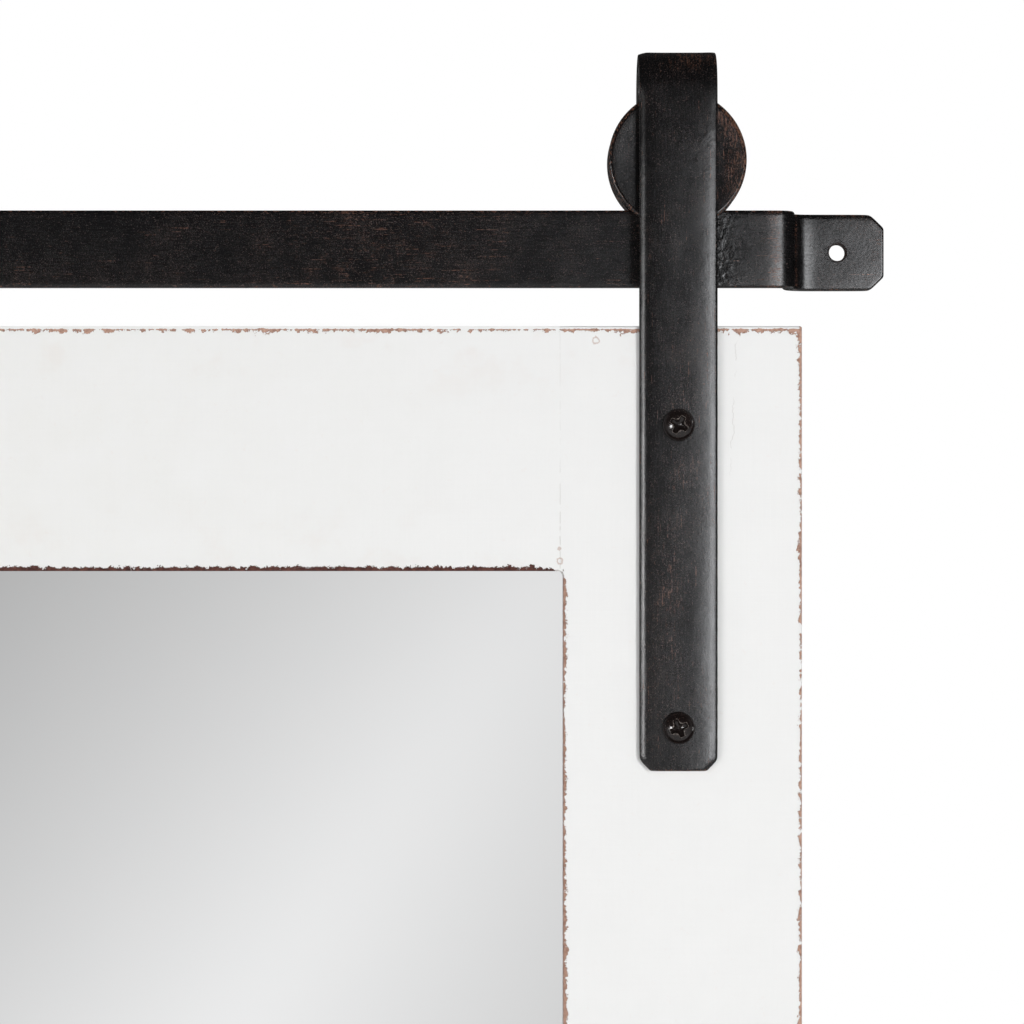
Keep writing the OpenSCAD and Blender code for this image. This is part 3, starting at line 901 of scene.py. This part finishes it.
# Wheels, axles and screws
wheel = {
    "radius": 22.0,
    "tread": 16.0,
    "halfWidth": 7.0,
    "halfGroove": 3.0,
    "bore": 4.55,
    "hub": 7.8,          # radius of the flat hub, then of the hollow's two ends
    "hollow": (9.0, 21.0),
    "rim": 21.3,
    "dish": 0.42,        # how far each side is hollowed between its hub and its rim
}
axle = {
    "sleeveRadius": 4.5,
    "sleeveBore": 3.1,
    "gap": 18.0,         # between the legs of a strap
    "play": 0.1,
    "screwRadius": 3.0,
    "screwLength": 24.8,
    "headRadius": 5.7,
    "washerRadius": 7.5,
    "washerBore": 4.55,
    "washerThick": 1.8,
    "recessReach": 2.9,
    "turn": 0.6,
}
screw = {
    "headRadius": 4.55,
    "headHeight": 2.6,
    "rim": 0.95,         # height of the head's straight side
    "shankRadius": 2.4,
    "tip": 4.0,
    "length": 18.0,
    "recessReach": 3.25,
    "recessDepth": 1.7,
    "lip": 0.24,         # worn width of the recess's edges
    "turns": (24, 60),   # of the lower and the upper screw, in degrees
}


def withBarSpace(builder, swap, offset):
    # gives a turned piece its own place on the bar pattern, in the order that swap names
    layer = builder.verts.layers.float_vector.new("bar")
    for vert in builder.verts:
        vert[layer] = tuple(vert.co[k] + offset for k in swap)
    return builder


def crossCutter(reach, top, depth):
    # a tapered cross with flared inner corners, drawn in towards its bottom
    builder = bmesh.new()
    levels = ((top + 0.6, 1.12, 0.36, 0.58), (top - depth * 0.45, 0.92, 0.25, 0.40),
              (top - depth, 0.54, 0.15, 0.26))
    rings = []
    for height, *shares in levels:
        long, wide, inner = (share * reach for share in shares)
        arm = [(inner * 0.82, -inner * 0.82), (inner * 1.25, -wide), (long - wide * 0.3, -wide)]
        arm += [(long, -wide * 0.6), (long, wide * 0.6), (long - wide * 0.3, wide), (inner * 1.25, wide)]
        turns = [Matrix.Rotation(math.pi / 2 * k, 3, "Z") for k in range(4)]
        rings.append([builder.verts.new(turn @ Vector((*point, height))) for turn in turns for point in arm])
    bottom = builder.verts.new((0, 0, top - depth - 0.4))
    count = len(rings[0])
    for k in range(count):
        following = (k + 1) % count
        for upper, lower in zip(rings, rings[1:]):
            builder.faces.new((upper[k], upper[following], lower[following], lower[k]))
        builder.faces.new((rings[-1][k], rings[-1][following], bottom))
    builder.faces.new(rings[0])
    return builder


def makeWheel(name):
    side = sides[name]
    radius, width, bore, rim = wheel["radius"], wheel["halfWidth"], wheel["bore"], wheel["rim"]
    groove, dish, hub = wheel["halfGroove"], wheel["dish"], wheel["hub"]
    start, end = wheel["hollow"]
    hollow = [(start + (end - start) * k / 8, width - dish * (1 - (k / 8) ** 1.5)) for k in range(9)]
    half = [(bore, width - 0.3), (bore + 0.3, width), (hub, width), (hub + 0.6, width - dish)]
    half += hollow + [(rim, width), (radius, width), (radius, groove), (wheel["tread"], groove)]
    fillets = [0] * (len(half) - 3) + [0.65, 0.6, 0.35]
    outline = rounded([(x, -y) for x, y in half] + half[::-1], fillets + fillets[::-1], 5)
    builder = placed(latheMesh(outline, 128, closed=True),
                     towardsFront(side * hardware["strapX"], hardware["wheelY"], hardware["axleZ"]))
    withBarSpace(builder, (2, 0, 1), 40.0 if side > 0 else 90.0)
    useLayer = builder.verts.layers.float_vector.new("use")
    for vert in builder.verts:
        dx, dz = vert.co.x - side * hardware["strapX"], vert.co.z - hardware["axleZ"]
        away = math.hypot(dx, dz)
        # rubbed most along the rim on its right, by the hand that hangs it
        rub = 0.25 + 0.3 * slope(away, 19.0, 21.0)
        rub += 0.95 * slope(away, 13.5, 18.0) * slope(dx, 5, 12) * slope(dz, -15, -6)
        vert[useLayer] = (rub, 0.0, 0.7 * slope(away, rim, rim + 0.4))
    newPiece(name + "Wheel", builder, wheelBronze, name + "_wheel", name + "_wheel")


def makeSleeve(name, x, rearY):
    inner, outer, gap = axle["sleeveBore"], axle["sleeveRadius"], axle["gap"]
    builder = latheMesh([(inner, 0), (outer, 0), (outer, gap), (inner, gap)], 64, closed=True)
    builder.transform(towardsFront(x, rearY, hardware["axleZ"]))
    newPiece(name + "AxleSleeve", builder, zincSteel, hanging, name + "_axle_sleeve")


def makeWashers(name, x, rearY):
    bore, outer, thick = axle["washerBore"], axle["washerRadius"], axle["washerThick"]
    ring = [(bore, 0.2), (bore + 0.2, 0), (outer, 0), (outer, thick), (bore + 0.2, thick)]
    ring = rounded(ring + [(bore, thick - 0.2)], [0, 0, 0.35, 0.35, 0, 0], 3)
    both = bmesh.new()
    for fromRear in (axle["play"], axle["gap"] - axle["play"] - thick):
        place = towardsFront(x, rearY - fromRear, hardware["axleZ"])
        addMesh(both, placed(latheMesh(ring, 64, closed=True), place))
    withBarSpace(both, (2, 0, 1), 20.0)
    newPiece(name + "AxleWashers", both, barBronze, hanging, name + "_axle_washers")


def makeAxleScrew(name, x, headY):
    head, shank, length = axle["headRadius"], axle["screwRadius"], axle["screwLength"]
    outline = [(0, 0), (head - 0.15, 0), (head, 0.15), (shank, head - shank), (shank, length - 0.4)]
    outline += [(shank - 0.5, length), (0, length)]
    cross = placed(crossCutter(axle["recessReach"], -0.3, 2.0), Matrix.Rotation(math.pi, 4, "X"))
    builder = cutAway(latheMesh(outline, 64), [cross])
    builder.transform(towardsFront(x, headY, hardware["axleZ"], axle["turn"] * sides[name]))
    withBarSpace(builder, (0, 2, 1), 10.0)
    newPiece(name + "AxleScrew", builder, screwBronze, hanging, name + "_axle_screw", 30)


def makeStrapScrews(name):
    side = sides[name]
    radius, tall = screw["headRadius"], screw["headHeight"]
    shank, length = screw["shankRadius"], screw["length"]
    rise = tall - screw["rim"]
    ball = (radius * radius + rise * rise) / (2 * rise)
    leans = [math.asin(radius / ball) * k / 18 for k in range(18)]
    dome = [(ball * math.sin(lean), tall - ball + ball * math.cos(lean)) for lean in leans]
    outline = dome + [(radius, screw["rim"]), (radius, 0.0), (shank + 0.4, 0.0), (shank, -0.3)]
    outline = rounded(outline, [0] * len(dome) + [0.35, 0.22, 0, 0], 4)
    outline += [(shank, screw["tip"] - length), (shank * 0.25, -length), (0, -length)]

    def onDome(point):
        near = point.xy.length < screw["recessReach"] + 0.4
        return near and point.z > tall - ball + math.sqrt(ball * ball - point.xy.length_squared) - 0.03

    both = bmesh.new()
    faceY = strap["frontMiddleY"] - bar["halfThick"] + bar["wave"]
    for height, turn in zip(hardware["screwZ"], screw["turns"]):
        cross = crossCutter(screw["recessReach"], tall - 0.3, screw["recessDepth"])
        builder = cutAway(latheMesh(outline), [cross])
        useLayer = builder.verts.layers.float_vector.new("use")
        # the lips' vertices get the full arris share, so they take the light bare colour: worn metal that is
        # also a painted glint
        for vert in bevelled(builder, sharpEdges(builder, 0.45, onDome), screw["lip"], 2):
            vert[useLayer] = (0, 0, 1)
        place = towardsFront(side * hardware["strapX"], faceY, height, math.radians(turn * side))
        addMesh(both, placed(builder, place))
    withBarSpace(both, (0, 2, 1), 5.0)
    return newPiece(name + "StrapScrews", both, screwBronze, hanging, name + "_strap_screws", 32)


strapScrews = []
for sideName, sideSign in sides.items():
    axleX = sideSign * hardware["strapX"]
    rearInnerY = strap["rearMiddleY"] - bar["halfThick"]
    makeWheel(sideName)
    makeSleeve(sideName, axleX, rearInnerY)
    makeWashers(sideName, axleX, rearInnerY)
    makeAxleScrew(sideName, axleX, strap["rearMiddleY"] + bar["halfThick"])
    strapScrews.append(makeStrapScrews(sideName))
print("wheels, axles and screws made")


# Boards
arrises = {
    "outer": 0.6,
    "opening": 0.35,
    "joint": 0.07,
    "segments": 3,
    "shading": 50,       # edges steeper than this many degrees stay sharp
}


def openingCutter():
    # the rounded opening through the lip
    builder = bmesh.new()
    corner = panel["openCorner"]
    outline = []
    for sx, sz, first in ((1, 1, 0), (-1, 1, 90), (-1, -1, 180), (1, -1, 270)):
        cx = sx * (panel["openHalfWidth"] - corner)
        cz = (panel["openTop"] - corner) if sz > 0 else (panel["openBottom"] + corner)
        for k in range(9):
            angle = math.radians(first + 90 * k / 8)
            outline.append((cx + corner * math.cos(angle), cz + corner * math.sin(angle)))
    depths = (panel["front"] - 1, panel["front"] + panel["lip"] + 0.5)
    near, far = ([builder.verts.new((x, y, z)) for x, z in outline] for y in depths)
    for k in range(len(outline)):
        builder.faces.new((near[k - 1], near[k], far[k], far[k - 1]))
    builder.faces.new(near)
    builder.faces.new(far)
    return builder


def rabbetCutter():
    reach = panel["openHalfWidth"] + panel["rabbet"]
    return boxMesh((-reach, panel["front"] + panel["lip"], panel["openBottom"] - panel["rabbet"]),
                   (reach, panel["back"] + 1, panel["openTop"] + panel["rabbet"]))


def makeBoard(name, node, lowX, lowZ, highX, highZ):
    blank = boxMesh((lowX, panel["front"], lowZ), (highX, panel["back"], highZ))
    builder = cutAway(blank, [openingCutter(), rabbetCutter()])

    def at(value, *places):
        return any(abs(value - place) < 0.002 for place in places)

    def onOuterSide(point):
        return at(abs(point.x), panel["halfWidth"])

    def onFrontOrBack(point):
        return at(point.y, panel["front"], panel["back"])

    def onOpening(point):
        corner = panel["openCorner"]
        middle = (panel["openTop"] + panel["openBottom"]) / 2
        dx = abs(point.x) - (panel["openHalfWidth"] - corner)
        dz = abs(point.z - middle) - ((panel["openTop"] - panel["openBottom"]) / 2 - corner)
        gap = math.hypot(max(dx, 0), max(dz, 0)) + min(max(dx, dz), 0) - corner
        return at(point.y, panel["front"]) and abs(gap) < 0.02

    def bevel(arris, *tests):
        edges = sharpEdges(builder, 0.5, *tests)
        if edges:
            bevelled(builder, edges, arrises[arris], arrises["segments"])

    bevel("opening", onOpening)
    bevel("joint", lambda point: at(abs(point.x), panel["jointX"]) and onFrontOrBack(point))
    tests = [lambda point: onOuterSide(point) and onFrontOrBack(point)]
    for end in (panel["top"], panel["bottom"]):
        tests.append(lambda point, end=end: at(point.z, end) and onFrontOrBack(point))
        tests.append(lambda point, end=end: at(point.z, end) and onOuterSide(point))
    bevel("outer", *tests)
    piece = newPiece(name, builder, whitePaint, hanging, node, arrises["shading"])
    piece.modifiers.new("evenShading", "WEIGHTED_NORMAL").keep_sharp = True


outerX, jointX = panel["halfWidth"], panel["jointX"]
makeBoard("leftStile", "left_stile", -outerX, panel["bottom"], -jointX, panel["top"])
makeBoard("rightStile", "right_stile", jointX, panel["bottom"], outerX, panel["top"])
makeBoard("topBoard", "top_board", -jointX, panel["openTop"] - openTrim, jointX, panel["top"])
makeBoard("bottomBoard", "bottom_board", -jointX, panel["bottom"], jointX, panel["openBottom"] + openTrim)
print("boards made")


# Glass, backing and bumpers
glassArris = 0.4
bumper = {
    "radius": 8.0,
    "faceRadius": 7.2,
    "x": 204.5,
    "z": -1220.9,
}


def makeGlass():
    builder = boxMesh(*boxOf("mirror_glass"))
    bevelled(builder, builder.edges[:], glassArris, 2)
    piece = newPiece("mirrorGlass", builder, silvered, hanging, "mirror_glass", 50)
    piece.modifiers.new("evenShading", "WEIGHTED_NORMAL").keep_sharp = True
    return piece


def makeBumpers():
    builder = bmesh.new()
    thick = -panel["back"]
    outline = [(0, thick), (bumper["faceRadius"], thick), (bumper["radius"], 0.0), (0, 0)]
    outline = rounded(outline, [0, 1.4, 0.3, 0], 5)
    for side in sides.values():
        place = Matrix.Translation((side * bumper["x"], panel["back"], bumper["z"]))
        addMesh(builder, placed(latheMesh(outline, 48), place @ Matrix.Rotation(-math.pi / 2, 4, "X")))
    newPiece("wallBumpers", builder, bumperGrey, hanging, "wall_bumpers")


glassPiece = makeGlass()
makeBumpers()
carriedOver = {
    "corner_dowels": beechWood,
    "foam_sheet": foamWhite,
    "backing_board": hardboardBrown,
    "backing_points": zincSteel,
}
for node, material in carriedOver.items():
    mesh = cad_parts[node].data
    mesh.materials.clear()
    mesh.materials.append(material)
print("glass, backing and bumpers made")


# Studio, in metres
studio = {
    "camera": (0.1338, -0.924, -0.0866),
    "lens": 96.9,
    "ambient": 0.215,
    "floorZ": -1.36,
    "floorRadius": 2.6,
    "shadowRadius": 0.9,     # the floor is plain white beyond this and the fade after it
    "skyRadius": 1.8,
    "skyDark": 0.10,         # its level low down on the right, and higher up
    "skyDarkest": 0.06,
    "skyTop": 1.3,
    "flagLevel": 0.05,
    "flagMiddle": (0.2, -0.01),
    "flagRadius": 0.42,
    "aim": (0.15, 0, -0.15),   # what the cards and the front lamps face
}
white = (1, 1, 1)
# slanting pale bands on the glass, with places on the glass in metres
sheen = {
    "middle": (0.120, -0.148),
    "slant": 0.7,        # how far a band moves sideways for each unit of height
    "firstBand": -0.69,
    "bandGap": 0.23,
    "level": 0.886,
    "fall": 1.30,        # how fast it darkens away from a band
    "soft": 0.013,       # rounding of a band's ridge
    "downward": 0.26,    # how much brighter it gets downwards
    "gamma": 2.2,
    "mirror": 0.9,       # what the glass gives back
}
# bright panels that only reflections see: middle, width, height, level, tint, fade at sides and at ends
cards = {
    "rightStrip": ((0.675, -1.5, -0.10), 0.42, 0.66, 15.0, (0.96, 0.975, 1.0), 0.035, 0.035),
    "leftStrip": ((-0.95, -1.38, -0.17), 0.20, 0.84, 37.0, white, 0.05, 0.30),
    "screwStrip": ((-0.96, -1.40, -0.25), 0.34, 0.42, 70.0, white, 0.10, 0.10),
    "backStripLeft": ((-1.0, 1.15, -0.25), 0.8, 1.1, 1.0, white, 0.25, 0.30),
    "backStripRight": ((1.0, 1.15, -0.25), 0.8, 1.1, 1.0, white, 0.25, 0.30),
}
# area lamps: place, target, width, height, level of their face, where 1 is white
lamps = {
    "rightKey": ((0.70, -1.5, -0.10), studio["aim"], 0.26, 0.36, 36.5),
    "leftKey": ((-0.78, -1.45, -0.15), studio["aim"], 0.30, 0.40, 13.2),
    "lowFill": ((0.1, -2.2, -1.2), (0.1, 0, -0.4), 3.0, 1.6, 1.38),
    "backLeft": ((-1.2, 1.9, 0.3), (0, 0, -0.6), 1.6, 1.6, 1.7),
    "backRight": ((1.2, 1.9, 0.3), (0, 0, -0.6), 1.6, 1.6, 1.7),
}


def seenRays(f):
    # 1 for the rays that show a thing: straight, mirrored or through glass
    path = f.node("ShaderNodeLightPath")
    names = ("Is Camera Ray", "Is Glossy Ray", "Is Transmission Ray")
    straight, mirrored, bent = (Wire(f.tree, path.outputs[name]) for name in names)
    return straight.most(mirrored).most(bent)


def closeStage(f, output, factor, lights, shown):
    # the first shader lights things, and the second is what the seen rays get
    both = f.node("ShaderNodeMixShader", None, {"Fac": factor, 1: lights.outputs[0], 2: shown.outputs[0]})
    f.node(output, None, {"Surface": both.outputs[0]})


def makeWorld():
    world = bpy.data.worlds.new("studioWorld")
    world.use_nodes = True
    bpy.context.scene.world = world
    f = Finish(world.node_tree)
    lights = f.node("ShaderNodeBackground", None, {"Color": white, "Strength": studio["ambient"]})
    shown = f.node("ShaderNodeBackground", None, {"Color": white, "Strength": 1.0})
    closeStage(f, "ShaderNodeOutputWorld", seenRays(f), lights, shown)


def makeSheet(name, points, faces):
    mesh = bpy.data.meshes.new(name)
    mesh.from_pydata(points, [], faces)
    sheet = bpy.data.objects.new(name, mesh)
    bpy.context.collection.objects.link(sheet)
    return sheet


def upright(arc, low, high):
    # points and faces of a wall that stands on an arc of (x, y) points
    count = len(arc)
    points = [(x, y, low) for x, y in arc] + [(x, y, high) for x, y in arc]
    return points, [(k, k + 1, count + k + 1, count + k) for k in range(count - 1)]


def makeFloor():
    count, radius = 48, studio["floorRadius"]
    turns = [2 * math.pi * k / count for k in range(count)]
    rim = [(radius * math.cos(turn), radius * math.sin(turn), 0) for turn in turns]
    floor = makeSheet("floor", rim, [tuple(range(count))])
    floor.location = (0, 0, studio["floorZ"])
    material, f = newMaterial("paleFloor")
    x, y, _ = f.parts(f.ownPlace())
    away = (x * x + y * y).root()
    whiteness = 0.45 + 0.55 * away.above(studio["shadowRadius"] - 0.6, 1.1)
    lit = f.node("ShaderNodeBsdfDiffuse", None, {"Color": (0.92, 0.92, 0.92)})
    glow = f.node("ShaderNodeEmission", None, {"Color": white, "Strength": 1.0})
    closeStage(f, "ShaderNodeOutputMaterial", seenRays(f) * whiteness, lit, glow)
    floor.data.materials.append(material)


def glowing(sheet, tint, levelAt, clear=False):
    # makes a sheet glow in reflections and nowhere else; a clear one also shows what is behind it
    material, f = newMaterial(sheet.name + "Glow")
    color = f.scaled(tint, levelAt(*f.parts(f.ownPlace())))
    surface = f.node("ShaderNodeEmission", None, {"Color": color, "Strength": 1.0}).outputs[0]
    if clear:
        through = f.node("ShaderNodeBsdfTransparent", None, {"Color": white})
        surface = f.node("ShaderNodeAddShader", None, {0: surface, 1: through.outputs[0]}).outputs[0]
    f.node("ShaderNodeOutputMaterial", None, {"Surface": surface})
    sheet.data.materials.append(material)
    for rays in ("camera", "diffuse", "shadow", "transmission", "volume_scatter"):
        setattr(sheet, "visible_" + rays, False)


def makeSky():
    # a graded half drum in front of the object: the glass gets its diagonal sheen from it
    radius = studio["skyRadius"]
    camX, camY, camZ = studio["camera"]
    glassY = boxOf("mirror_glass")[0][1] * mm
    spread = 1 + (glassY + radius) / (glassY - camY)   # how much larger things lie on it than on the glass
    middleX, middleZ = sheen["middle"]
    slantLength = round(math.hypot(1, sheen["slant"]), 2)
    turns = [math.radians(degrees) for degrees in range(-84, 85, 3)]
    arc = [(radius * math.sin(turn), -radius * math.cos(turn)) for turn in turns]

    def levelAt(x, y, z):
        run = x.math("ARCTAN2", -y) * radius
        glassX = camX + (run - camX) / spread      # where the main view sees this point in the glass
        glassZ = camZ + (z - camZ) / spread
        across = ((glassX - middleX) - sheen["slant"] * (glassZ - middleZ)) / slantLength
        gap, soft = sheen["bandGap"], sheen["soft"]
        folded = abs((across - sheen["firstBand"]).math("PINGPONG", gap) - gap)
        tone = sheen["level"] + sheen["downward"] * (-(glassZ - middleZ)).most(-0.1).least(0.13)
        tone = tone - sheen["fall"] * ((folded * folded + soft * soft).root() - soft)
        bright = tone.most(0.3) ** sheen["gamma"] / sheen["mirror"]
        dark = studio["skyDark"] - (studio["skyDark"] - studio["skyDarkest"]) * z.above(0.20, 0.25)
        beside = run.above(0.215, 0.08) * run.below(0.9, 0.2) * z.above(-0.70, 0.3)
        level = bright + (dark - bright) * z.above(-0.145, 0.12).most(beside)
        return level + (1.0 - level) * z.below(-0.66, 0.55)   # white towards the floor

    glowing(makeSheet("sky", *upright(arc, studio["floorZ"] + 0.001, studio["skyTop"])), white, levelAt)


def makeFlags():
    # dark sheets beside, above and behind the hanger: they keep the far sides of its bends black
    turns = [math.radians(degrees) for degrees in range(30, 146, 5)]
    radius, (x, y) = studio["flagRadius"], studio["flagMiddle"]
    arc = [(x + radius * math.sin(turn), y - radius * math.cos(turn)) for turn in turns]
    points, faces = upright(arc, -0.12, 0.55)
    top = studio["skyTop"]
    lid = [(-1.8, -1.8, top), (1.8, -1.8, top), (1.8, 2.4, top), (-1.8, 2.4, top)]
    rear = [(-0.7, 0.5, -0.25), (0.7, 0.5, -0.25), (0.7, 0.5, 0.5), (-0.7, 0.5, 0.5)]
    for sheet in (lid, rear):
        faces.append(tuple(range(len(points), len(points) + 4)))
        points += sheet
    glowing(makeSheet("flags", points, faces), white, lambda x, y, z: studio["flagLevel"])


def makeCard(name, middle, width, height, level, tint, sideFade, endFade, pieces, state):
    # its light reaches only these pieces ("INCLUDE") or all but these ("EXCLUDE")
    w, h = width / 2, height / 2
    card = makeSheet(name, [(-w, 0, -h), (w, 0, -h), (w, 0, h), (-w, 0, h)], [(0, 1, 2, 3)])
    card.location = middle
    card.rotation_euler = (0, 0, math.atan2(middle[0] - studio["aim"][0], -middle[1]))

    def levelAt(x, y, z):
        return (w - abs(x)).above(0, sideFade) * (h - abs(z)).above(0, endFade) * level

    glowing(card, tint, levelAt, True)
    group = bpy.data.collections.new(name + "Receivers")
    for piece in pieces:
        group.objects.link(piece)
    for member in group.collection_objects:
        member.light_linking.link_state = state
    card.light_linking.receiver_collection = group


def addLamp(name, place, target, width, height, level):
    # an area lamp that reflections don't see, because they see the cards instead
    data = bpy.data.lights.new(name, "AREA")
    data.shape = "RECTANGLE"
    data.size = width
    data.size_y = height
    data.energy = level * math.pi * width * height
    lamp = bpy.data.objects.new(name, data)
    lamp.location = place
    lamp.rotation_euler = (Vector(target) - Vector(place)).to_track_quat("-Z", "Y").to_euler()
    lamp.visible_glossy = False
    bpy.context.collection.objects.link(lamp)


def addCamera():
    data = bpy.data.cameras.new("camera")
    data.sensor_width = 36
    data.lens = studio["lens"]
    camera = bpy.data.objects.new("camera", data)
    camera.location = studio["camera"]
    camera.rotation_euler = (math.pi / 2, 0, 0)
    bpy.context.collection.objects.link(camera)
    bpy.context.scene.camera = camera


makeWorld()
makeFloor()
makeSky()
makeFlags()
# the glass doesn't show the cards, and the strap screws have a left one of their own
spared = {"leftStrip": [glassPiece] + strapScrews}
for cardName, sizes in cards.items():
    if cardName == "screwStrip":
        makeCard(cardName, *sizes, strapScrews, "INCLUDE")
    else:
        makeCard(cardName, *sizes, spared.get(cardName, [glassPiece]), "EXCLUDE")
for lampName, sizes in lamps.items():
    addLamp(lampName, *sizes)
addCamera()
bpy.context.scene.view_settings.view_transform = "Standard"
print("studio made")
